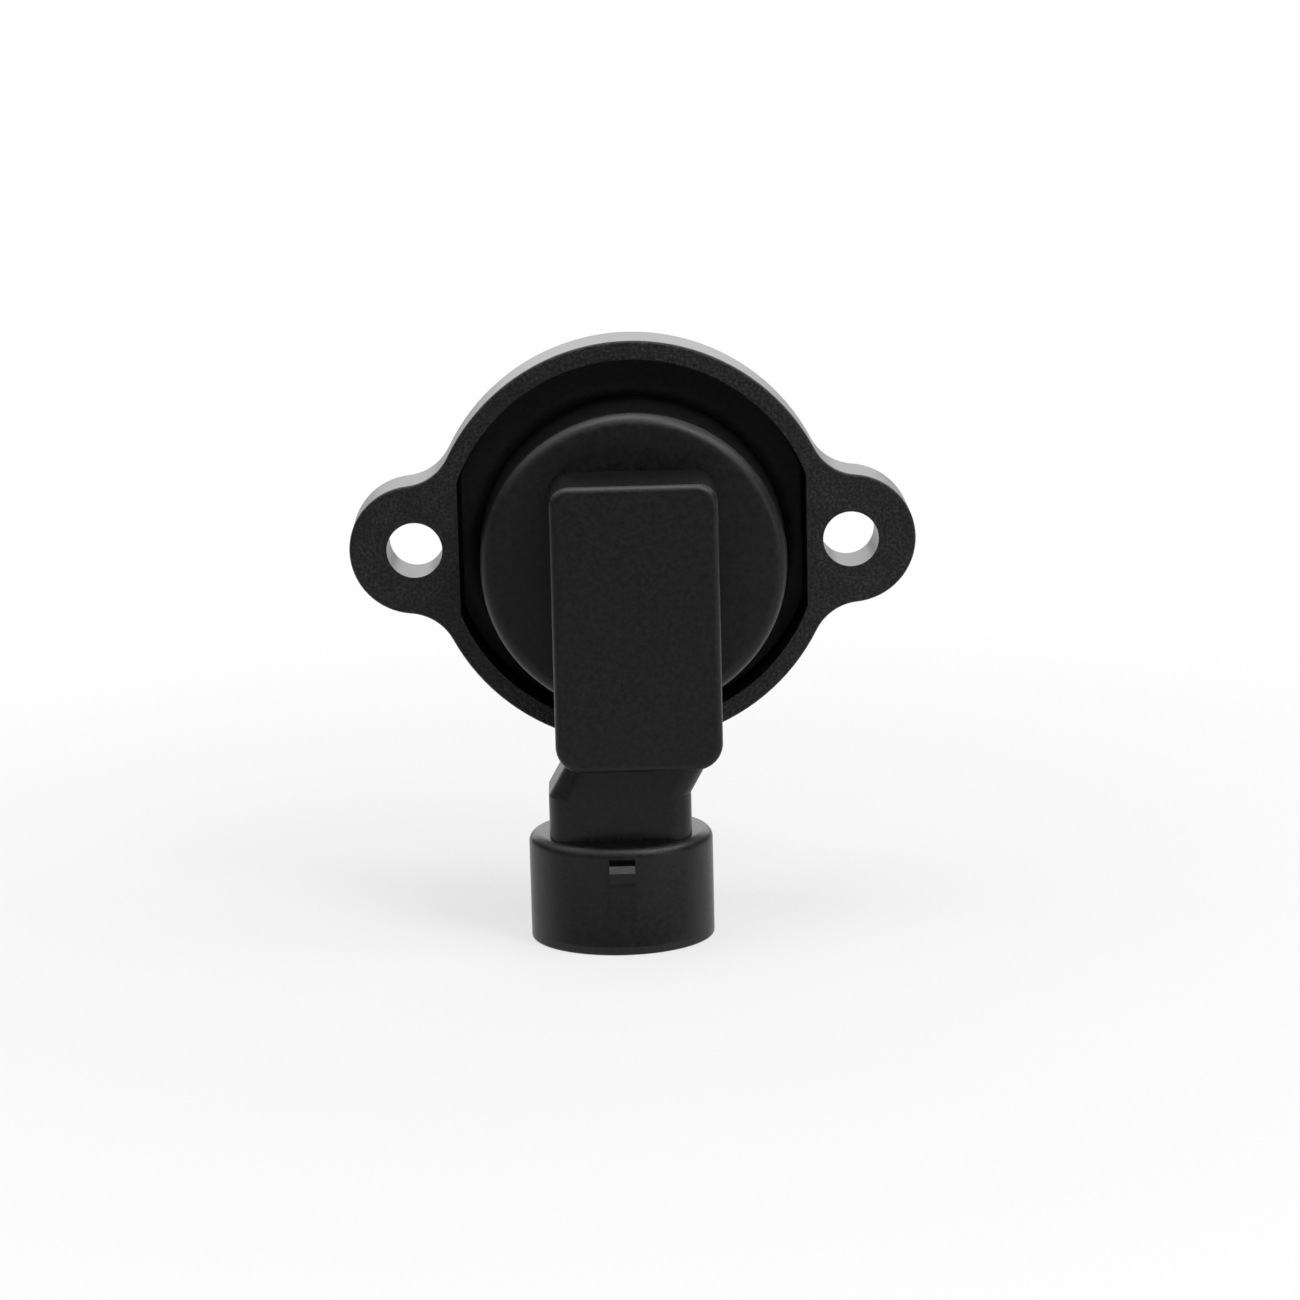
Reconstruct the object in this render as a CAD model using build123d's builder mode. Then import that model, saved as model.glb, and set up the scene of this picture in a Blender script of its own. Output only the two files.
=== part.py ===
from build123d import *
from math import cos, degrees, radians, sin, tan
import os

# Throttle position sensor. Millimetres. The origin is on the rotor's axis, in the plane of the
# mounting face. Depths are measured from that plane towards the front, which is -Y.

# Mounting flange
hole_diameter = 6.5
hole_wall = 1.9
ear_wall = 4.35
ring_wall = 2.15
ear_blend_radius = 6.0
flange_thickness = 7.75
flange_edge_round = 0.3

# Recess in the flange that takes the cover's plate
recess_side_gap = 2.35
recess_crown = 1.45
recess_corner_round = 1.0
web_thickness = 1.35

# Pilot and bearing at the back of the flange
pilot_radius = 12.5
pilot_length = 4.5
pilot_chamfer = 0.5
bearing_radius = 7.0
bearing_boss_wall = 1.4
bearing_boss_height = 2.0

# Skirt whose window ends are the rotor's stops, and the lip that centres the cover
skirt_wall = 1.4
skirt_height = 6.85
lip_wall = 1.15
lip_height = 1.85

# Cover plate and drum
plate_thickness = 1.2
plate_gap = 0.15
plate_edge_round = 0.3
drum_base_radius = 18.0
drum_drop = 0.95
drum_height = 13.6
drum_draft = 1.4
drum_edge_round = 1.5
drum_foot_round = 1.4
drum_wall = 2.1
drum_face_wall = 1.6

# Terminal arm on the drum's face
arm_width = 19.0
arm_top = 10.2
arm_bottom = -22.8
arm_front = 26.0
arm_back = 12.6
arm_draft = 0.6
arm_top_corner = 2.3
arm_bottom_corner = 3.1
arm_edge_round = 0.8
arm_wall = 2.0
arm_front_wall = 1.7
arm_bridge_half = 2.2

# Neck that steps sideways from the arm to the connector
neck_width = 16.45
neck_front = 21.6
neck_front_round = 2.6
neck_back_round = 0.6
neck_jog_height = 4.1
neck_root = 1.0

# Connector shroud
connector_shift = -2.3
connector_depth = 15.8
shroud_width = 21.4
shroud_thickness = 18.4
shroud_top = -32.0
shroud_height = 12.7
shroud_wall = 1.5
shroud_roof = 2.2
shroud_shoulder_round = 1.2
shroud_rim_round = 0.3

# Lock nub on the shroud's front
nub_width = 2.95
nub_drop = 1.8
nub_height = 6.8
nub_reach = 1.4
nub_catch_chamfer = 0.7
nub_front_height = 1.1
nub_step_height = 0.7
nub_step_reach = 0.8
nub_root = 0.5
nub_recess_height = 0.55
nub_recess_depth = 0.7

# Terminals
terminal_pitch = 4.2
terminal_width = 1.5
terminal_thickness = 0.8
terminal_setback = 2.6
terminal_tip_chamfer = 0.3
terminal_turn_height = -11.6
terminal_stand_out = 0.85

# Resistor card, its two tracks and the solder
card_rim = 0.85
card_edge_gap = 0.2
card_half_width = 9.2
card_foot = 2.0
card_thickness = 0.9
card_hole_gap = 0.1
post_radius = 0.6
post_track_gap = 0.85
post_angle = 38.0
post_head = 0.3
track_thickness = 0.2
track_overrun = 14.0
resistive_radius = 9.4
resistive_width = 1.8
collector_radius = 6.6
collector_width = 1.6
lead_width = 1.1
lead_run = 2.6
pad_radius = 1.45
solder_foot_radius = 1.25
solder_top_radius = 0.95
solder_height = 0.55

# Rotor, turned by the throttle shaft
travel = 100.0
wiper_rest_angle = 140.0
running_clearance = 0.05
thrust_clearance = 0.15
rotor_end_recess = 0.4
socket_radius = 4.0
socket_flat = 3.1
socket_depth = 9.0
collar_wall = 1.2
collar_height = 1.0
carrier_overhang = 0.4
carrier_thickness = 2.0
carrier_gap = 0.4
pivot_radius = 1.6
pivot_depth = 3.0
pivot_end_gap = 0.5
lug_angle = 25.0
lug_length = 4.6
stop_gap_angle = 0.5

# Wiper
wiper_sheet = 0.25
wiper_tail_inner = 5.6
wiper_tail_outer = 10.4
wiper_tail_near = 2.9
wiper_tail_far = 5.1
finger_width = 0.9
finger_nose = 0.5
finger_nose_drop = 0.15
wiper_track_gap = 0.1
stake_radius = 0.5
stake_height = 0.55
stake_gap = 0.1

# Return spring
spring_wire = 0.8
spring_side_gap = 0.4
spring_turns = 4.25
spring_seat_gap = 0.05
spring_slot_gap = 0.15
spring_hook_reach = 0.9

os.makedirs("parts", exist_ok=True)

# Radii and widths that follow from the driving dimensions, from the drum and the bearing outwards
cavity_radius = drum_base_radius - drum_wall
recess_half_width = drum_base_radius + recess_side_gap
recess_radius = recess_half_width + recess_crown
ring_radius = recess_radius + ring_wall
ear_radius = hole_diameter / 2 + ear_wall
hole_spacing = 2 * (recess_half_width + hole_wall) + hole_diameter
boss_radius = bearing_radius + bearing_boss_wall
spring_radius = boss_radius + spring_side_gap + spring_wire / 2
skirt_inner_radius = spring_radius + spring_wire / 2 + spring_side_gap
skirt_outer_radius = skirt_inner_radius + skirt_wall
carrier_radius = skirt_outer_radius + carrier_overhang
post_circle_radius = resistive_radius + resistive_width / 2 + post_track_gap + post_radius
card_radius = post_circle_radius + post_radius + card_rim

# Depths that follow from them
plate_front = web_thickness + plate_thickness
drum_front = plate_front + drum_height
cavity_front = drum_front - drum_face_wall
boss_front = web_thickness + bearing_boss_height
skirt_front = web_thickness + skirt_height
carrier_back = skirt_front + carrier_gap
carrier_front = carrier_back + carrier_thickness
rotor_end = pilot_length - rotor_end_recess
card_back = cavity_front - card_thickness
track_back = card_back - track_thickness

# Heights and places that follow from them
shroud_bottom = shroud_top - shroud_height
shroud_front = connector_depth + shroud_thickness / 2
neck_jog_end = arm_bottom - neck_jog_height
neck_depth = neck_front - arm_back
neck_centre = (neck_front + arm_back) / 2
nub_top = shroud_top - nub_drop
nub_front_top = nub_top - nub_catch_chamfer
card_bottom = terminal_turn_height - card_foot
lead_bend_height = terminal_turn_height + lead_run
ear_places = [(-hole_spacing / 2, 0), (hole_spacing / 2, 0)]
terminal_xs = [connector_shift + step * terminal_pitch for step in (-1, 0, 1)]
terminal_places = [(x, terminal_turn_height) for x in terminal_xs]
terminal_end = card_back - terminal_stand_out
wiper_end_angle = wiper_rest_angle - travel

# The lug hangs behind the wiper, and the skirt's window leaves it the rotor's travel
lug_rest_angle = wiper_rest_angle
window_start = lug_rest_angle + lug_angle / 2 + stop_gap_angle
window_end = lug_rest_angle - travel - lug_angle / 2 - stop_gap_angle
skirt_span = 360 + window_end - window_start


def turned(radius, angle):
    return (radius * cos(radians(angle)), radius * sin(radians(angle)))


def ring_sector(inner_radius, outer_radius, start_angle, span):
    with BuildSketch() as sector:
        with BuildLine():
            outside = CenterArc((0, 0), outer_radius, start_angle, span)
            inside = CenterArc((0, 0), inner_radius, start_angle, span)
            Line(outside @ 0, inside @ 0)
            Line(outside @ 1, inside @ 1)
        make_face()
    return sector.sketch


post_places = [turned(post_circle_radius, post_angle), turned(post_circle_radius, 180 - post_angle)]

# Base housing: ring flange with two ears, a recess for the cover and a bearing for the rotor
with BuildPart() as base_housing:
    with BuildSketch(Plane.XZ) as flange_outline:
        Circle(ring_radius)
        with Locations(ear_places):
            Circle(ear_radius)
        outline_points = flange_outline.vertices()
        ear_corners = outline_points.filter_by_position(Axis.X, -hole_spacing / 2, hole_spacing / 2)
        fillet(ear_corners, ear_blend_radius)
    extrude(amount=flange_thickness)
    fillet(base_housing.faces().sort_by(Axis.Y)[0].edges(), flange_edge_round)
    with BuildSketch(Plane.XZ):
        with Locations(ear_places):
            Circle(hole_diameter / 2)
    extrude(amount=flange_thickness, mode=Mode.SUBTRACT)
    with BuildSketch(Plane.XZ.offset(web_thickness)) as recess_outline:
        Circle(recess_radius)
        Rectangle(2 * recess_half_width, 2 * recess_radius, mode=Mode.INTERSECT)
        fillet(recess_outline.vertices(), recess_corner_round)
    extrude(amount=flange_thickness - web_thickness, mode=Mode.SUBTRACT)
    with BuildSketch(Plane.XZ.offset(web_thickness)):
        with Locations((0, -drum_drop)):
            Circle(cavity_radius - plate_gap)
            Circle(cavity_radius - plate_gap - lip_wall, mode=Mode.SUBTRACT)
    extrude(amount=lip_height)
    with BuildSketch(Plane.XZ.offset(web_thickness)):
        add(ring_sector(skirt_inner_radius, skirt_outer_radius, window_start, skirt_span))
        with Locations((spring_wire / 2, -(skirt_inner_radius + skirt_outer_radius) / 2)):
            Rectangle(spring_wire + 2 * spring_slot_gap, 2 * skirt_wall, mode=Mode.SUBTRACT)
    extrude(amount=skirt_height)
    with BuildSketch(Plane.XZ):
        Circle(boss_radius)
    extrude(amount=boss_front)
    with BuildSketch(Plane.XZ):
        Circle(pilot_radius)
    extrude(amount=-pilot_length)
    chamfer(base_housing.faces().sort_by(Axis.Y)[-1].edges(), pilot_chamfer)
    with BuildSketch(Plane.XZ.offset(-pilot_length)):
        Circle(bearing_radius)
    extrude(amount=pilot_length + boss_front, mode=Mode.SUBTRACT)
base_housing.part.label = "base_housing"

# Terminals: a blade in the socket, embedded in the neck, turned at the top to pass through the card
terminal_names = ["supply_terminal", "signal_terminal", "ground_terminal"]
terminals = []
for name, x in zip(terminal_names, terminal_xs):
    with BuildPart() as terminal:
        with BuildSketch(Plane.YZ.offset(x - terminal_width / 2)):
            with BuildLine():
                Polyline(
                    (-connector_depth, shroud_bottom + terminal_setback),
                    (-connector_depth, terminal_turn_height),
                    (-terminal_end, terminal_turn_height),
                )
            trace(line_width=terminal_thickness)
        extrude(amount=terminal_width)
        chamfer(terminal.faces().sort_by(Axis.Z)[0].edges(), terminal_tip_chamfer)
    terminal.part.label = name
    terminals.append(terminal)

# Cross-section of the cover's neck, with wide rounds on its two front corners
with BuildSketch() as neck_section:
    Rectangle(neck_width, neck_depth)
    fillet(neck_section.vertices().group_by(Axis.Y)[0], neck_front_round)
    fillet(neck_section.vertices().group_by(Axis.Y)[-1], neck_back_round)

# Connector cover: plate, drum, terminal arm, stepped neck and connector shroud in one moulding
with BuildPart() as connector_cover:
    with BuildSketch(Plane.XZ.offset(web_thickness)) as plate_outline:
        Circle(recess_radius - plate_gap)
        Rectangle(2 * (recess_half_width - plate_gap), 2 * recess_radius, mode=Mode.INTERSECT)
        fillet(plate_outline.vertices(), recess_corner_round)
    extrude(amount=plate_thickness)
    fillet(connector_cover.faces().sort_by(Axis.Y)[0].edges(), plate_edge_round)
    with BuildSketch(Plane.XZ.offset(plate_front)):
        with Locations((0, -drum_drop)):
            Circle(drum_base_radius)
    extrude(amount=drum_height, taper=drum_draft)
    drum_rims = connector_cover.edges(Select.LAST).filter_by(GeomType.CIRCLE).sort_by(Axis.Y)
    fillet(drum_rims[-1], drum_foot_round)
    fillet(connector_cover.faces().sort_by(Axis.Y)[0].edges(), drum_edge_round)

    # The arm narrows towards its front by its draft
    arm_growth = (arm_front - arm_back) * tan(radians(arm_draft))
    with BuildSketch(Plane.XZ.offset(arm_back)) as arm_outline:
        with Locations((0, (arm_top + arm_bottom) / 2)):
            Rectangle(arm_width + 2 * arm_growth, arm_top - arm_bottom + 2 * arm_growth)
        fillet(arm_outline.vertices().group_by(Axis.Y)[-1], arm_top_corner + arm_growth)
        fillet(arm_outline.vertices().group_by(Axis.Y)[0], arm_bottom_corner + arm_growth)
    extrude(amount=arm_front - arm_back, taper=arm_draft)
    fillet(connector_cover.faces().sort_by(Axis.Y)[0].edges(), arm_edge_round)

    # Shroud, open downwards
    with BuildSketch(Plane.XY.offset(shroud_top)):
        with Locations((connector_shift, -connector_depth)):
            Ellipse(shroud_width / 2, shroud_thickness / 2)
    extrude(amount=-shroud_height)
    shroud_ends = connector_cover.faces(Select.LAST).filter_by(Axis.Z).sort_by(Axis.Z)
    rim_edges = shroud_ends[0].edges()
    shoulder_edges = shroud_ends[-1].edges()
    fillet(rim_edges, shroud_rim_round)
    fillet(shoulder_edges, shroud_shoulder_round)

    # Neck, which starts inside the arm, steps sideways below it and then runs down into the shroud
    with BuildSketch(Plane.XY.offset(arm_bottom + neck_root)):
        with Locations((0, -neck_centre)):
            add(neck_section.sketch)
    extrude(amount=-neck_root)
    with BuildSketch(Plane.XY.offset(arm_bottom)):
        with Locations((0, -neck_centre)):
            add(neck_section.sketch)
    with BuildSketch(Plane.XY.offset(neck_jog_end)):
        with Locations((connector_shift, -neck_centre)):
            add(neck_section.sketch)
    loft(ruled=True)
    with BuildSketch(Plane.XY.offset(neck_jog_end)):
        with Locations((connector_shift, -neck_centre)):
            add(neck_section.sketch)
    extrude(amount=shroud_top - shroud_shoulder_round - neck_jog_end)

    # Socket for the mating plug
    with BuildSketch(Plane.XY.offset(shroud_bottom)):
        with Locations((connector_shift, -connector_depth)):
            Ellipse(shroud_width / 2 - shroud_wall, shroud_thickness / 2 - shroud_wall)
    extrude(amount=shroud_height - shroud_roof, mode=Mode.SUBTRACT)

    # Lock nub: a catch with a chamfered edge, then two slopes that let the plug's latch ride up
    with BuildSketch(Plane.YZ.offset(connector_shift - nub_width / 2)):
        with BuildLine():
            Polyline(
                (-shroud_front + nub_root, nub_top),
                (-shroud_front - nub_reach + nub_catch_chamfer, nub_top),
                (-shroud_front - nub_reach, nub_front_top),
                (-shroud_front - nub_reach, nub_front_top - nub_front_height),
                (-shroud_front - nub_step_reach, nub_front_top - nub_front_height - nub_step_height),
                (-shroud_front, nub_top - nub_height),
                (-shroud_front + nub_root, nub_top - nub_height),
                close=True,
            )
        make_face()
    extrude(amount=nub_width)
    with BuildSketch(Plane.XZ.offset(shroud_front - nub_recess_depth)):
        with Locations((connector_shift, nub_top + nub_recess_height / 2)):
            Rectangle(nub_width, nub_recess_height)
    extrude(amount=nub_recess_depth, mode=Mode.SUBTRACT)

    # Rotor cavity in the drum, and two cored pockets in the arm with a bridge between them
    with BuildSketch(Plane.XZ.offset(web_thickness)):
        with Locations((0, -drum_drop)):
            Circle(cavity_radius)
    extrude(amount=cavity_front - web_thickness, mode=Mode.SUBTRACT)
    with BuildSketch(Plane.XZ.offset(cavity_front)):
        with Locations((0, -drum_drop)):
            Circle(cavity_radius)
        with Locations((0, arm_top - arm_wall)):
            Rectangle(
                arm_width - 2 * arm_wall,
                arm_top - arm_wall + drum_drop + cavity_radius,
                align=(Align.CENTER, Align.MAX),
                mode=Mode.INTERSECT,
            )
        Rectangle(arm_width, 2 * arm_bridge_half, mode=Mode.SUBTRACT)
    extrude(amount=arm_front - arm_front_wall - cavity_front, mode=Mode.SUBTRACT)

    # Pivot pin for the rotor's front end, and two staked posts that hold the card
    with BuildSketch(Plane.XZ.offset(cavity_front)):
        Circle(pivot_radius - running_clearance)
    extrude(amount=-(cavity_front - carrier_front + pivot_depth - pivot_end_gap))
    with BuildSketch(Plane.XZ.offset(cavity_front)):
        with Locations(post_places):
            Circle(post_radius)
    extrude(amount=-(card_thickness + post_head))

    # The cover is moulded round the terminals
    for terminal in terminals:
        add(terminal.part, mode=Mode.SUBTRACT)
connector_cover.part.label = "connector_cover"

# Resistor card, flat against the inside of the drum's face
with BuildPart() as resistor_card:
    with BuildSketch(Plane.XZ.offset(card_back)):
        Circle(card_radius)
        Rectangle(2 * card_half_width, -card_bottom, align=(Align.CENTER, Align.MAX))
        with Locations((0, -drum_drop)):
            Circle(cavity_radius - card_edge_gap, mode=Mode.INTERSECT)
        Circle(pivot_radius + card_hole_gap, mode=Mode.SUBTRACT)
        with Locations(post_places):
            Circle(post_radius + card_hole_gap, mode=Mode.SUBTRACT)
        with Locations(terminal_places):
            Rectangle(
                terminal_width + 2 * card_hole_gap,
                terminal_thickness + 2 * card_hole_gap,
                mode=Mode.SUBTRACT,
            )
    extrude(amount=card_thickness)
resistor_card.part.label = "resistor_card"

# Tracks on the card's back: an arc under each wiper finger, with leads down to the terminals' pads
track_start = wiper_end_angle - track_overrun
track_span = travel + 2 * track_overrun
track_stop = track_start + track_span


def lead(radius, angle, place):
    top = turned(radius, angle)
    with BuildSketch() as strip:
        with BuildLine():
            Polyline(top, (top[0], lead_bend_height), place)
        trace(line_width=lead_width)
        with Locations(place):
            Circle(pad_radius)
    return strip.sketch


def track(radius, width, leads):
    with BuildPart() as printed:
        with BuildSketch(Plane.XZ.offset(track_back)):
            add(ring_sector(radius - width / 2, radius + width / 2, track_start, track_span))
            for angle, place in leads:
                add(lead(radius, angle, place))
            with Locations(terminal_places):
                Rectangle(
                    terminal_width + 2 * card_hole_gap,
                    terminal_thickness + 2 * card_hole_gap,
                    mode=Mode.SUBTRACT,
                )
        extrude(amount=track_thickness)
    return printed


resistive_leads = [(track_stop, terminal_places[0]), (track_start, terminal_places[2])]
resistive_track = track(resistive_radius, resistive_width, resistive_leads)
resistive_track.part.label = "resistive_track"
collector_track = track(collector_radius, collector_width, [(track_stop, terminal_places[1])])
collector_track.part.label = "collector_track"

# Solder round each terminal's end, on its pad
with BuildPart() as solder_joints:
    for place in terminal_places:
        with BuildSketch(Plane.XZ.offset(track_back)):
            with Locations(place):
                Circle(solder_foot_radius)
        with BuildSketch(Plane.XZ.offset(track_back - solder_height)):
            with Locations(place):
                Circle(solder_top_radius)
        loft()
    with BuildSketch(Plane.XZ.offset(track_back)):
        with Locations(terminal_places):
            Rectangle(terminal_width, terminal_thickness)
    extrude(amount=-solder_height, mode=Mode.SUBTRACT)
solder_joints.part.label = "solder_joints"

# The wiper's own planes: across the carrier's front, and along each finger
outward = (cos(radians(wiper_rest_angle)), 0, sin(radians(wiper_rest_angle)))
sideways = (-sin(radians(wiper_rest_angle)), 0, cos(radians(wiper_rest_angle)))
carrier_plane = Plane(origin=(0, -carrier_front, 0), x_dir=outward, z_dir=(0, -1, 0))
finger_plane = Plane(origin=(0, 0, 0), x_dir=sideways, z_dir=outward)
wiper_tail_middle = (wiper_tail_near + wiper_tail_far) / 2
stake_places = [(collector_radius, wiper_tail_middle), (resistive_radius, wiper_tail_middle)]

# Return spring: a torsion coil round the bearing boss. It starts straight below the axis, hooked in
# the skirt's slot, and ends hooked in the carrier
spring_start = web_thickness + spring_wire / 2 + spring_seat_gap
spring_end = carrier_back - spring_wire / 2 - spring_seat_gap
spring_height = spring_end - spring_start
hook_angle = 360 * spring_turns - 90 - degrees(spring_wire / 2 / spring_radius)
hook_place = turned(spring_radius, hook_angle)
with BuildPart() as return_spring:
    with BuildLine() as coil:
        Helix(
            pitch=spring_height / spring_turns,
            height=spring_height,
            radius=spring_radius,
            center=(0, -spring_start, 0),
            direction=(0, -1, 0),
        )
    with BuildSketch(Plane(origin=coil.line @ 0, z_dir=coil.line % 0)):
        Circle(spring_wire / 2)
    sweep(is_frenet=True)
    with BuildSketch(Plane.XY.offset(-spring_radius)):
        with Locations((spring_wire / 2, -spring_start)):
            Circle(spring_wire / 2)
    extrude(amount=spring_radius - skirt_outer_radius)
    with BuildSketch(Plane.XZ.offset(spring_end)):
        with Locations(hook_place):
            Circle(spring_wire / 2)
    extrude(amount=spring_wire / 2 + spring_hook_reach)
return_spring.part.label = "return_spring"

# Rotor: journal with a D-shaped socket for the throttle shaft, and a carrier disc for the wiper
with BuildPart() as rotor:
    with BuildSketch(Plane.XZ.offset(-rotor_end)):
        Circle(bearing_radius - running_clearance)
    extrude(amount=rotor_end + carrier_back)
    with BuildSketch(Plane.XZ.offset(boss_front + thrust_clearance)):
        Circle(bearing_radius + collar_wall)
    extrude(amount=collar_height)
    with BuildSketch(Plane.XZ.offset(carrier_back)):
        Circle(carrier_radius)
    extrude(amount=carrier_thickness)
    with BuildSketch(Plane.XZ.offset(carrier_back)):
        add(ring_sector(skirt_inner_radius, skirt_outer_radius, lug_rest_angle - lug_angle / 2, lug_angle))
    extrude(amount=-lug_length)
    with BuildSketch(carrier_plane):
        with Locations(stake_places):
            Circle(stake_radius)
    extrude(amount=stake_height)
    with BuildSketch(Plane.XZ.offset(-rotor_end)):
        Circle(socket_radius)
        with Locations((0, socket_flat)):
            Rectangle(
                2 * socket_radius,
                socket_radius + socket_flat,
                align=(Align.CENTER, Align.MAX),
                mode=Mode.INTERSECT,
            )
    extrude(amount=socket_depth, mode=Mode.SUBTRACT)
    with BuildSketch(Plane.XZ.offset(carrier_front)):
        Circle(pivot_radius)
    extrude(amount=-pivot_depth, mode=Mode.SUBTRACT)
    with BuildSketch(Plane.XZ.offset(carrier_back)):
        with Locations(hook_place):
            Circle(spring_wire / 2 + spring_slot_gap)
    extrude(amount=carrier_thickness, mode=Mode.SUBTRACT)
rotor.part.label = "rotor"

# Wiper: a stamped plate staked to the carrier, with one sprung finger for each track
finger_root = carrier_front + wiper_sheet / 2
finger_tip = track_back - wiper_track_gap - wiper_sheet / 2
with BuildPart() as wiper_contact:
    with BuildSketch(carrier_plane):
        with Locations(((wiper_tail_inner + wiper_tail_outer) / 2, wiper_tail_middle)):
            Rectangle(wiper_tail_outer - wiper_tail_inner, wiper_tail_far - wiper_tail_near)
        with Locations(stake_places):
            Circle(stake_radius + stake_gap, mode=Mode.SUBTRACT)
    extrude(amount=wiper_sheet)
    for radius in (collector_radius, resistive_radius):
        with BuildSketch(finger_plane.offset(radius - finger_width / 2)):
            with BuildLine():
                Polyline(
                    (wiper_tail_near + wiper_sheet, finger_root),
                    (wiper_tail_near, finger_root),
                    (finger_nose, finger_tip - finger_nose_drop),
                    (0, finger_tip),
                    (-finger_nose, finger_tip - finger_nose_drop),
                )
            trace(line_width=wiper_sheet)
        extrude(amount=finger_width)
wiper_contact.part.label = "wiper_contact"

pieces = [
    base_housing,
    connector_cover,
    *terminals,
    resistor_card,
    resistive_track,
    collector_track,
    solder_joints,
    return_spring,
    rotor,
    wiper_contact,
]
for piece in pieces:
    export_step(piece.part, f"parts/{piece.part.label}.step")
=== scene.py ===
import math

import bmesh
import bpy
import numpy as np
from mathutils import Matrix, Vector


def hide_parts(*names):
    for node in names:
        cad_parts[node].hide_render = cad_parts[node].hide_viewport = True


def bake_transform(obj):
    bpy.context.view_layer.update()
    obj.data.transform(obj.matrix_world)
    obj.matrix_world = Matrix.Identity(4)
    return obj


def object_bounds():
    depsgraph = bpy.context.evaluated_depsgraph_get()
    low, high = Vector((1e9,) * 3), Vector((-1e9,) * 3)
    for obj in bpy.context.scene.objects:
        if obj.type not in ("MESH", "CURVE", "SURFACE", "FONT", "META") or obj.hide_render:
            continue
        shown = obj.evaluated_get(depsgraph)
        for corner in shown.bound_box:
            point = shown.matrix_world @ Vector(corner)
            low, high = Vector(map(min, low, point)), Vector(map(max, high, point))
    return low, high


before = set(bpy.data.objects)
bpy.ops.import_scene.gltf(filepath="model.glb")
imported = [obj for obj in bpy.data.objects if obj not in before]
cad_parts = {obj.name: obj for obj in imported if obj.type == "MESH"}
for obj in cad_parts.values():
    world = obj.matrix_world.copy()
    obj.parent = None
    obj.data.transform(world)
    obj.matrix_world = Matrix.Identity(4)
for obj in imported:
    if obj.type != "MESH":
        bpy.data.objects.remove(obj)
bpy.context.view_layer.update()  # the boxes are known only after this
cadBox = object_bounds()


class Wire:  # one output socket; arithmetic on it adds Math nodes to its tree
    def __init__(self, tree, socket=None):
        self.tree = tree
        self.socket = socket

    def feed(self, target, value):
        if isinstance(value, Wire):
            self.tree.links.new(value.socket, target)
        else:
            target.default_value = value

    def node(self, kind, settings=None, inputs=None, output=0):  # settings first, then values or links
        made = self.tree.nodes.new("ShaderNode" + kind)
        for name, value in (settings or {}).items():
            setattr(made, name, value)
        for name, value in (inputs or {}).items():
            self.feed(made.inputs[name], value)
        return Wire(self.tree, made.outputs[output])

    def reckon(self, operation, first, second):
        return self.node("Math", {"operation": operation}, {0: first, 1: second})

    def __add__(self, other):
        return self.reckon("ADD", self, other)

    def __radd__(self, other):
        return self.reckon("ADD", other, self)

    def __sub__(self, other):
        return self.reckon("SUBTRACT", self, other)

    def __rsub__(self, other):
        return self.reckon("SUBTRACT", other, self)

    def __mul__(self, other):
        return self.reckon("MULTIPLY", self, other)

    def __rmul__(self, other):
        return self.reckon("MULTIPLY", other, self)

    def __gt__(self, other):
        return self.reckon("GREATER_THAN", self, other)

    def __lt__(self, other):
        return self.reckon("LESS_THAN", self, other)


# What the finishes share
def startFinish(name, constants):  # a Principled material with the values that are the same all over
    material = bpy.data.materials.new(name)
    material.use_nodes = True
    shader = material.node_tree.nodes["Principled BSDF"]
    for socket, value in constants.items():
        shader.inputs[socket].default_value = value
    return material, shader, Wire(material.node_tree)


def objectPlace(root):  # metres in the part's own frame
    return root.node("TexCoord", output="Object")


def placeAlong(root, axis):
    return root.node("SeparateXYZ", None, {0: objectPlace(root)}, axis)


def faceTurn(root, axis):  # how far the surface faces along one axis of the part, from -1 to 1
    return root.node("SeparateXYZ", None, {0: root.node("TexCoord", output="Normal")}, axis)


def noise(root, place, scale, detail=3.0, roughness=0.5):
    values = {"Vector": place, "Scale": scale, "Detail": detail, "Roughness": roughness}
    return root.node("TexNoise", None, values)


# Colour from low to high as the factor goes from 0 to 1; 6, 7 and output 2 are the node's colour sockets
def between(root, factor, low, high):
    ends = [value if isinstance(value, Wire) else (*value, 1.0) for value in (low, high)]
    return root.node("Mix", {"data_type": "RGBA"}, {0: factor, 6: ends[0], 7: ends[1]}, output=2)


def spread(root, value, fromLow, fromHigh, toLow=0.0, toHigh=1.0):  # clamped at both ends
    limits = {"From Min": fromLow, "From Max": fromHigh, "To Min": toLow, "To Max": toHigh}
    return root.node("MapRange", None, {"Value": value, **limits})


def stretched(root, place, scale):
    return root.node("Mapping", None, {"Vector": place, "Scale": scale})


def axisDistance(root, place):  # distance from the rotor's axis, which is the frame's Y
    flat = root.node("VectorMath", {"operation": "MULTIPLY"}, {0: place, 1: (1.0, 0.0, 1.0)})
    return root.node("VectorMath", {"operation": "LENGTH"}, {0: flat}, "Value")


def dustSpecks(root, place, look):  # a small dot in the middle of a few cells of a coarse cell pattern
    cells = {"Vector": place, "Scale": look["dustScale"]}
    dot = root.node("TexVoronoi", None, cells, "Distance") < look["dustSize"]
    pick = root.node("SeparateColor", None, {0: root.node("TexVoronoi", None, cells, "Color")})
    return dot * (pick > 1 - look["dustShare"])


noiseSpan = (0.3, 0.7)  # most of a noise's values lie between these


def wornRough(root, value, look, span=noiseSpan):  # rougher as the value rises
    return spread(root, value, *span, look["roughLow"], look["roughHigh"])


def roughen(root, shader, height, look):
    bump = {"Strength": look["bumpStrength"], "Distance": look["grainDepth"], "Height": height}
    root.feed(shader.inputs["Normal"], root.node("Bump", None, bump))


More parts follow.
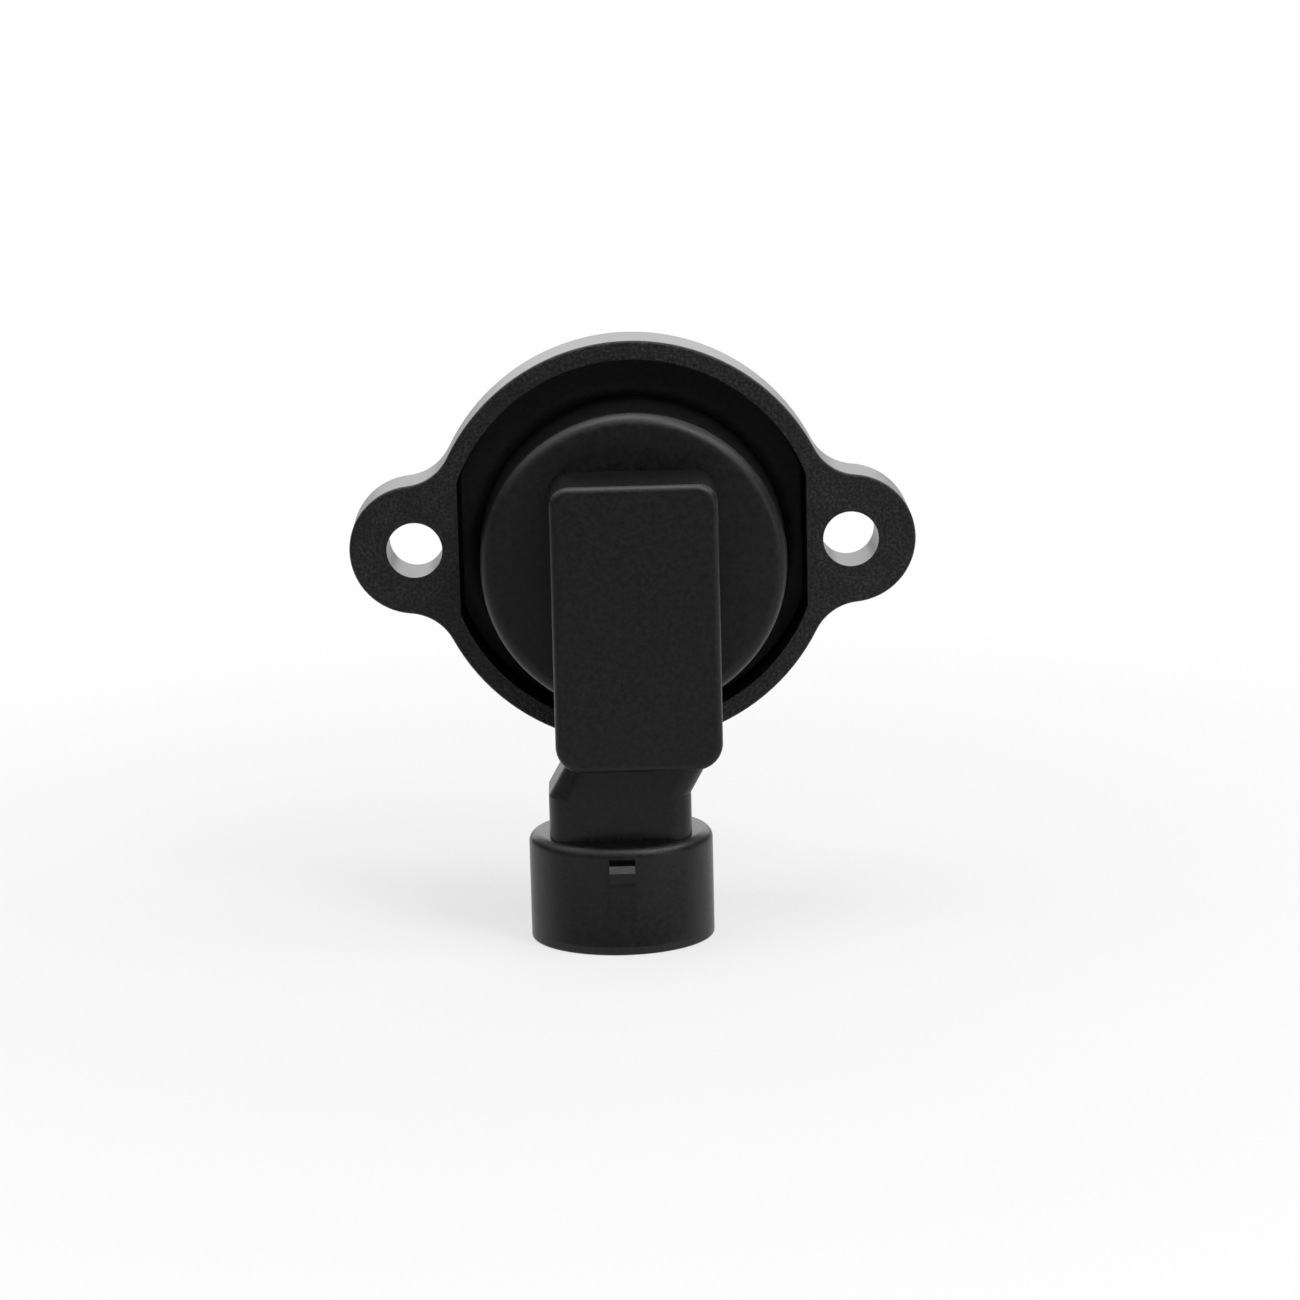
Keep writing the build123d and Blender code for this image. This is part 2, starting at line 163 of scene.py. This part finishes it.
def dress(material, *names):
    for name in names:
        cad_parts[name].material_slots[0].material = material


# Flange: coarse spark-eroded grain on the faces, smooth side walls
flangeLook = {
    "dark": (0.002, 0.002, 0.0021),
    "light": (0.04, 0.04, 0.041),
    "dust": (0.10, 0.10, 0.097),
    "grainScale": 2700.0,
    "craterScale": 1900.0,
    "patchScale": 420.0,
    "fleckSpan": (0.42, 0.72),
    "patchSpan": (0.3, 0.62),
    "patchLeast": 0.45,
    "frontTurn": (-0.35, -0.85),
    "grainShare": 0.6,
    "bumpGrain": 0.65,
    "bumpCrater": 0.5,
    "grainDepth": 14.0e-5,
    "bumpStrength": 0.8,
    "wallRough": 0.3,
    "roughLow": 0.46,
    "roughHigh": 0.62,
    "specular": 0.36,
    "dustScale": 260.0,
    "dustSize": 0.025,
    "dustShare": 0.05,
}


def flangeFinish():
    look = flangeLook
    material, shader, root = startFinish("flangePlastic", {"Specular IOR Level": look["specular"]})
    place = objectPlace(root)
    front = spread(root, faceTurn(root, "Y"), *look["frontTurn"])
    grain = noise(root, place, look["grainScale"], roughness=0.6)
    crater = root.node("TexVoronoi", None, {"Vector": place, "Scale": look["craterScale"]}, "Distance")
    patches = noise(root, place, look["patchScale"], detail=2.0)
    patchy = spread(root, patches, *look["patchSpan"], look["patchLeast"])
    fleck = spread(root, grain, *look["fleckSpan"]) * patchy
    tint = between(root, fleck * front, look["dark"], look["light"])
    tint = between(root, dustSpecks(root, place, look), tint, look["dust"])
    root.feed(shader.inputs["Base Color"], tint)
    mottle = grain * look["grainShare"] + patches * (1 - look["grainShare"])
    grained = wornRough(root, mottle, look)
    root.feed(shader.inputs["Roughness"], (grained - look["wallRough"]) * front + look["wallRough"])
    roughen(root, shader, (grain * look["bumpGrain"] + crater * look["bumpCrater"]) * front, look)
    return material


# Cover: fine matt moulding, smoother on its side walls and rougher on the sunken plate
coverLook = {
    "dark": (0.0018, 0.0018, 0.0019),
    "light": (0.007, 0.007, 0.0072),
    "dust": (0.09, 0.09, 0.088),
    "grainScale": 4200.0,
    "patchScale": 1700.0,
    "patchSpan": (0.35, 0.65),
    "grainShare": 0.3,
    "grainDepth": 1.6e-5,
    "bumpStrength": 0.7,
    "roughLow": 0.36,
    "roughHigh": 0.48,
    "wallRough": 0.32,
    "frontTurn": (-0.1, -0.45),
    "plateRough": 0.62,
    "plateDepth": (-6.0e-3, -4.0e-3),
    "specular": 0.36,
    "dustScale": 210.0,
    "dustSize": 0.022,
    "dustShare": 0.05,
}


def coverFinish():
    look = coverLook
    material, shader, root = startFinish("coverPlastic", {"Specular IOR Level": look["specular"]})
    place = objectPlace(root)
    grain = noise(root, place, look["grainScale"], detail=2.0)
    patches = noise(root, place, look["patchScale"])
    tint = between(root, spread(root, patches, *look["patchSpan"]), look["dark"], look["light"])
    tint = between(root, dustSpecks(root, place, look), tint, look["dust"])
    root.feed(shader.inputs["Base Color"], tint)
    mottle = patches * (1 - look["grainShare"]) + grain * look["grainShare"]
    worn = wornRough(root, mottle, look, look["patchSpan"])
    deep = spread(root, placeAlong(root, "Y"), *look["plateDepth"])
    front = spread(root, faceTurn(root, "Y"), *look["frontTurn"])
    faces = (look["plateRough"] - worn) * deep + worn
    root.feed(shader.inputs["Roughness"], (faces - look["wallRough"]) * front + look["wallRough"])
    roughen(root, shader, grain, look)
    return material


# Rotor: smooth bearing plastic with faint rings from its tool
rotorLook = {
    "dark": (0.012, 0.012, 0.0125),
    "light": (0.02, 0.02, 0.0205),
    "ringScale": 2600.0,
    "ringShare": 0.6,
    "patchScale": 420.0,
    "grainDepth": 0.6e-5,
    "bumpStrength": 0.4,
    "roughLow": 0.3,
    "roughHigh": 0.42,
    "specular": 0.3,
}


def rotorFinish():
    look = rotorLook
    material, shader, root = startFinish("rotorPlastic", {"Specular IOR Level": look["specular"]})
    place = objectPlace(root)
    patches = noise(root, place, look["patchScale"])
    outward = axisDistance(root, place) * look["ringScale"]
    rings = root.node("TexNoise", {"noise_dimensions": "1D"}, {"W": outward})
    root.feed(shader.inputs["Base Color"], between(root, patches, look["dark"], look["light"]))
    root.feed(shader.inputs["Roughness"], wornRough(root, patches, look))
    roughen(root, shader, rings * look["ringShare"] + patches * (1 - look["ringShare"]), look)
    return material


# Metals: colour and roughness follow streaks that are drawn out along the strip or the wire
terminalLook = {
    "dark": (0.55, 0.53, 0.47),
    "light": (0.76, 0.74, 0.69),
    "streaks": (9000.0, 9000.0, 500.0),
    "grainDepth": 0.3e-5,
    "bumpStrength": 0.4,
    "roughLow": 0.22,
    "roughHigh": 0.4,
}
wiperLook = {
    "dark": (0.58, 0.5, 0.36),
    "light": (0.82, 0.74, 0.58),
    "streaks": (700.0, 9000.0, 9000.0),
    "grainDepth": 0.2e-5,
    "bumpStrength": 0.4,
    "roughLow": 0.18,
    "roughHigh": 0.34,
}
springLook = {
    "dark": (0.3, 0.3, 0.31),
    "light": (0.56, 0.56, 0.57),
    "streaks": (2500.0, 14000.0, 2500.0),
    "grainDepth": 0.3e-5,
    "bumpStrength": 0.4,
    "roughLow": 0.25,
    "roughHigh": 0.45,
}
solderLook = {
    "dark": (0.48, 0.49, 0.5),
    "light": (0.74, 0.75, 0.76),
    "streaks": (1800.0, 1800.0, 1800.0),
    "grainDepth": 1.0e-5,
    "bumpStrength": 0.5,
    "roughLow": 0.16,
    "roughHigh": 0.36,
}
collectorLook = {
    "dark": (0.5, 0.5, 0.48),
    "light": (0.68, 0.68, 0.66),
    "streaks": (6000.0, 6000.0, 6000.0),
    "grainDepth": 0.5e-5,
    "bumpStrength": 0.5,
    "roughLow": 0.35,
    "roughHigh": 0.55,
}


def metalFinish(name, look):
    material, shader, root = startFinish(name, {"Metallic": 1.0})
    streaks = noise(root, stretched(root, objectPlace(root), look["streaks"]), 1.0)
    root.feed(shader.inputs["Base Color"], between(root, streaks, look["dark"], look["light"]))
    root.feed(shader.inputs["Roughness"], wornRough(root, streaks, look))
    roughen(root, shader, streaks, look)
    return material


# Resistor card: brown laminate with paper fibres
cardLook = {
    "dark": (0.13, 0.085, 0.035),
    "light": (0.25, 0.18, 0.085),
    "fibres": (900.0, 9000.0, 4200.0),
    "grainDepth": 0.5e-5,
    "bumpStrength": 0.4,
    "roughLow": 0.4,
    "roughHigh": 0.6,
    "specular": 0.4,
}


def cardFinish():
    look = cardLook
    material, shader, root = startFinish("cardLaminate", {"Specular IOR Level": look["specular"]})
    drawnOut = stretched(root, objectPlace(root), look["fibres"])
    fibres = noise(root, drawnOut, 1.0, detail=4.0, roughness=0.6)
    root.feed(shader.inputs["Base Color"], between(root, fibres, look["dark"], look["light"]))
    root.feed(shader.inputs["Roughness"], wornRough(root, fibres, look))
    roughen(root, shader, fibres, look)
    return material


# Resistive track: printed carbon, polished where the finger runs
trackLook = {
    "dark": (0.012, 0.012, 0.012),
    "light": (0.03, 0.03, 0.029),
    "polished": (0.045, 0.045, 0.044),
    "fingerRadius": 9.4e-3,
    "fingerEdge": (0.45e-3, 0.27e-3),
    "grainScale": 7000.0,
    "grainDepth": 0.6e-5,
    "bumpStrength": 0.5,
    "roughLow": 0.32,
    "roughHigh": 0.65,
    "specular": 0.4,
}


def trackFinish():
    look = trackLook
    material, shader, root = startFinish("carbonInk", {"Specular IOR Level": look["specular"]})
    place = objectPlace(root)
    grain = noise(root, place, look["grainScale"])
    aside = root.reckon("ABSOLUTE", axisDistance(root, place) - look["fingerRadius"], 0.0)
    rubbed = spread(root, aside, *look["fingerEdge"])
    tint = between(root, grain, look["dark"], look["light"])
    root.feed(shader.inputs["Base Color"], between(root, rubbed, tint, look["polished"]))
    root.feed(shader.inputs["Roughness"], wornRough(root, 1 - rubbed, look, (0.0, 1.0)))
    roughen(root, shader, grain * (1 - rubbed), look)
    return material


dress(flangeFinish(), "base_housing")
dress(coverFinish(), "connector_cover")
dress(rotorFinish(), "rotor")
dress(metalFinish("terminalTin", terminalLook), "supply_terminal", "signal_terminal", "ground_terminal")
dress(metalFinish("wiperAlloy", wiperLook), "wiper_contact")
dress(metalFinish("springWire", springLook), "return_spring")
dress(metalFinish("solderTin", solderLook), "solder_joints")
dress(metalFinish("silverInk", collectorLook), "collector_track")
dress(cardFinish(), "resistor_card")
dress(trackFinish(), "resistive_track")
print("finishes on", len(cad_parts), "nodes")

# Return spring: a copy of its solid, with its loose triangles joined and shaded smooth, shown in place of
# the CAD node
springTwist = {
    "wire": 0.8e-3,
    "hookReach": 0.9e-3,
    "mergeWithin": 1.0e-7,
    "sharpFrom": 40.0,
}


def makeSpring():
    plan = springTwist
    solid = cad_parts["return_spring"]
    mesh = solid.data.copy()
    shape = bmesh.new()
    shape.from_mesh(mesh)
    bmesh.ops.remove_doubles(shape, verts=shape.verts, dist=plan["mergeWithin"])  # loose triangles joined
    shape.to_mesh(mesh)
    shape.free()
    mesh.shade_smooth()
    mesh.set_sharp_from_angle(angle=math.radians(plan["sharpFrom"]))
    spring = bpy.data.objects.new("windingSpring", mesh)
    bpy.context.scene.collection.objects.link(spring)
    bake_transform(spring)
    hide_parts("return_spring")


makeSpring()


# Studio
def seenDirectly(root):  # 1 for what the camera, a reflection or a clear piece shows
    camera, glossy, clear = (
        root.node("LightPath", output=f"Is {kind} Ray") for kind in ("Camera", "Glossy", "Transmission")
    )
    return root.reckon("MAXIMUM", root.reckon("MAXIMUM", camera, glossy), clear)


floorLook = {
    "size": 12.0,
    "colour": (0.8, 0.8, 0.8, 1.0),
    "shadowReach": 0.05,
    "whiteFrom": 0.16,
    "nearGlow": 0.68,
}


def flatSheet(name, xs, ys, height, side=3):  # flat grid: x runs over xs, y over ys, z is the height
    x, y = np.meshgrid(np.linspace(*xs, side), np.linspace(*ys, side))
    points = np.stack([x, y, np.full_like(x, height)], -1).reshape(-1, 3)
    steps = np.arange(side - 1)
    corner = (steps[:, None] * side + steps).ravel()
    faces = np.stack([corner, corner + 1, corner + side + 1, corner + side], -1)
    mesh = bpy.data.meshes.new(name)
    mesh.from_pydata(points.tolist(), [], faces.tolist())
    sheet = bpy.data.objects.new(name, mesh)
    bpy.context.scene.collection.objects.link(sheet)
    material = bpy.data.materials.new(name)
    material.use_nodes = True
    material.node_tree.nodes.remove(material.node_tree.nodes["Principled BSDF"])
    mesh.materials.append(material)
    root = Wire(material.node_tree)
    return sheet, root, material.node_tree.nodes["Material Output"].inputs["Surface"]


def makeFloor():
    look = floorLook
    reach = (-look["size"] / 2, look["size"] / 2)
    _, root, surface = flatSheet("studioFloor", reach, reach, cadBox[0].z)
    matt = root.node("BsdfDiffuse", None, {"Color": look["colour"]})
    white = root.node("Emission", None, {"Strength": 1.0})
    distance = root.node("VectorMath", {"operation": "LENGTH"}, {0: objectPlace(root)}, "Value")
    glow = spread(root, distance, look["shadowReach"], look["whiteFrom"], look["nearGlow"])
    paper = root.node("MixShader", None, {0: seenDirectly(root) * glow, 1: matt, 2: white})
    below = root.node("NewGeometry", output="Backfacing")
    clear = root.node("BsdfTransparent")
    root.feed(surface, root.node("MixShader", None, {0: below, 1: paper, 2: clear}))  # clear from below


# A grey card on the floor in front, met by reflections alone, keeps the bright floor out of the
# flat faces. It is thinner in a band across it, which lights the shroud's front
cardLay = {
    "colour": (0.5, 0.5, 0.5, 1.0),
    "halfWidth": 0.6,
    "near": -0.02,
    "full": -0.026,
    "bandNear": (-0.031, -0.045),
    "bandFar": (-0.084, -0.064),
    "bandShare": 0.72,
    "far": -0.9,
    "lift": 0.001,
}


def makeCard():
    lay = cardLay
    xs = (-lay["halfWidth"], lay["halfWidth"])
    ys = (lay["far"], lay["near"])
    card, root, surface = flatSheet("frontCard", xs, ys, cadBox[0].z + lay["lift"])
    for rays in ("camera", "diffuse", "shadow", "transmission"):
        setattr(card, "visible_" + rays, False)
    along = placeAlong(root, "Y")
    band = spread(root, along, *lay["bandNear"]) * spread(root, along, *lay["bandFar"])
    shade = spread(root, along, lay["near"], lay["full"]) * (1 - band * lay["bandShare"])
    clear = root.node("BsdfTransparent")
    matt = root.node("BsdfDiffuse", None, {"Color": lay["colour"]})
    root.feed(surface, root.node("MixShader", None, {0: shade, 1: clear, 2: matt}))


worldLook = {"fill": 0.06, "low": 0.06, "high": 1.0, "lowFrom": 0.3, "highFrom": 0.6}


def makeWorld():  # dim round the horizon, paler overhead
    look = worldLook
    world = bpy.data.worlds.new("studio")
    world.use_nodes = True
    bpy.context.scene.world = world
    root = Wire(world.node_tree)
    background = world.node_tree.nodes["Background"]
    background.inputs["Color"].default_value = (1.0, 1.0, 1.0, 1.0)
    upward = root.node("SeparateXYZ", None, {0: root.node("TexCoord", output="Generated")}, "Z")
    pale = spread(root, upward, look["lowFrom"], look["highFrom"], look["low"], look["high"])
    root.feed(background.inputs["Strength"], (pale - look["fill"]) * seenDirectly(root) + look["fill"])


lamps = {
    "keyLamp": {"at": (0.207, -0.246, 0.383), "width": 0.12, "height": 0.12, "watts": 0.64},
    "sideLamp": {"at": (0.356, -0.082, 0.341), "width": 0.12, "height": 0.12, "watts": 0.42},
    "softLamp": {"at": (0.278, -0.332, 0.25), "width": 0.12, "height": 0.12, "watts": 0.21},
    "rightLamp": {"at": (0.42, -0.352, 0.048), "width": 0.18, "height": 0.18, "watts": 0.2},
    "topLamp": {"at": (0.0, -0.044, 0.498), "width": 0.3, "height": 0.3, "watts": 1.2},
    "leftLamp": {"at": (-0.249, -0.022, 0.433), "width": 0.3, "height": 0.3, "watts": 0.36},
    "backLamp": {"at": (0.0, 0.58, 0.155), "width": 0.9, "height": 0.26, "watts": 1.4},
}


def makeLamps():
    for name, plan in lamps.items():
        light = bpy.data.lights.new(name, "AREA")
        light.shape = "RECTANGLE"
        light.size = plan["width"]
        light.size_y = plan["height"]
        light.energy = plan["watts"]
        lamp = bpy.data.objects.new(name, light)
        lamp.location = plan["at"]
        lamp.rotation_euler = (-Vector(plan["at"])).to_track_quat("-Z", "Y").to_euler()
        lamp.visible_camera = False
        bpy.context.scene.collection.objects.link(lamp)


makeFloor()
makeCard()
makeWorld()
makeLamps()
print("studio:", len(lamps), "lamps")

# Camera, at the photograph's angle
cameraPlan = {
    "framePixels": 1300,
    "focalPixels": 3789.62,
    "sensor": 36.0,
    "distance": 0.450,
    "pitch": 12.84076,
    "yaw": -0.76523,
    "roll": -1.38056,
    "aside": -0.0021463,
    "above": 0.01401505,
    "clipStart": 0.01,
}


def makeCamera():
    plan = cameraPlan
    pitch, yaw, roll = (math.radians(plan[key]) for key in ("pitch", "yaw", "roll"))
    back = Vector((math.sin(yaw) * math.cos(pitch), -math.cos(yaw) * math.cos(pitch), math.sin(pitch)))
    right = Vector((math.cos(yaw), math.sin(yaw), 0.0))
    up = back.cross(right)
    turnedRight = math.cos(roll) * right + math.sin(roll) * up
    turnedUp = math.cos(roll) * up - math.sin(roll) * right
    place = back * plan["distance"] - turnedRight * plan["aside"] - turnedUp * plan["above"]
    data = bpy.data.cameras.new("photoCamera")
    data.sensor_width = plan["sensor"]
    data.lens = plan["focalPixels"] / plan["framePixels"] * plan["sensor"]
    data.clip_start = plan["clipStart"]
    camera = bpy.data.objects.new("photoCamera", data)
    turn = Matrix((turnedRight, turnedUp, back)).transposed()
    camera.matrix_world = Matrix.LocRotScale(place, turn.to_quaternion(), None)
    bpy.context.scene.collection.objects.link(camera)
    bpy.context.scene.camera = camera


makeCamera()
bpy.context.scene.view_settings.view_transform = "Standard"
print("camera set")

bpy.context.view_layer.update()
